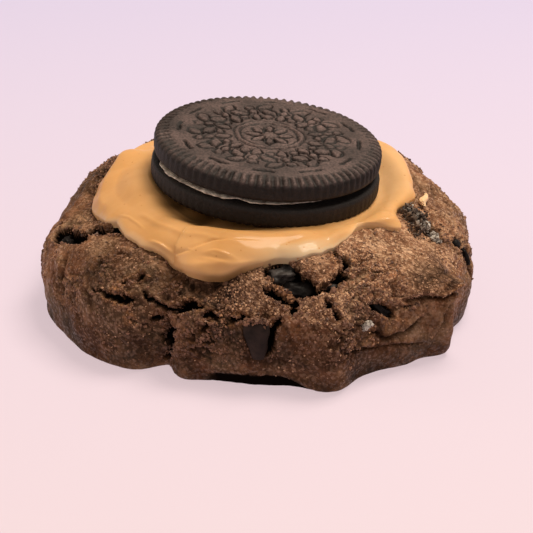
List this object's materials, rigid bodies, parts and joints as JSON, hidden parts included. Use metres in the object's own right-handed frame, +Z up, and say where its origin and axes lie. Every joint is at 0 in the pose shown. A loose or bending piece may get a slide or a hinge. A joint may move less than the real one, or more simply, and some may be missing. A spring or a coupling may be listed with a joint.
{
  "type": "topped chocolate cookie",
  "caption": "Thick craggy chocolate cookie with a pool of nut butter on top and a creme-filled cocoa sandwich biscuit pressed into it at a slight tilt.",
  "frame": {"origin": "middle of the underside, on the surface that the cookie stands on", "axes": "+Z up out of the top, +X to the right and -Y towards the front of the view that it was modelled from"},
  "size_m": [0.0861, 0.0855, 0.0374],
  "materials": {
    "cookie_crumb": "matte baked dark chocolate dough with a sandy crust",
    "nut_butter": "smooth glossy tan nut butter",
    "cocoa_wafer": "nearly black matte cocoa wafer",
    "creme": "soft off-white sugar creme",
    "dark_chocolate": "glossy melted and set dark chocolate",
    "crushed_biscuit": "crushed cocoa biscuit smeared with creme"
  },
  "bodies": {
    "root": {"baked_cookie": "cookie_crumb", "nut_butter": "nut_butter", "nut_butter_dab": "nut_butter", "lower_wafer": "cocoa_wafer", "creme_filling": "creme", "upper_wafer": "cocoa_wafer", "chocolate_front": "dark_chocolate", "chocolate_hollow": "dark_chocolate", "chocolate_left": "dark_chocolate", "chocolate_right": "dark_chocolate", "chocolate_rim": "dark_chocolate", "chocolate_back": "dark_chocolate", "chocolate_back_left": "dark_chocolate", "biscuit_crumb": "crushed_biscuit"}
  },
  "joints": []
}
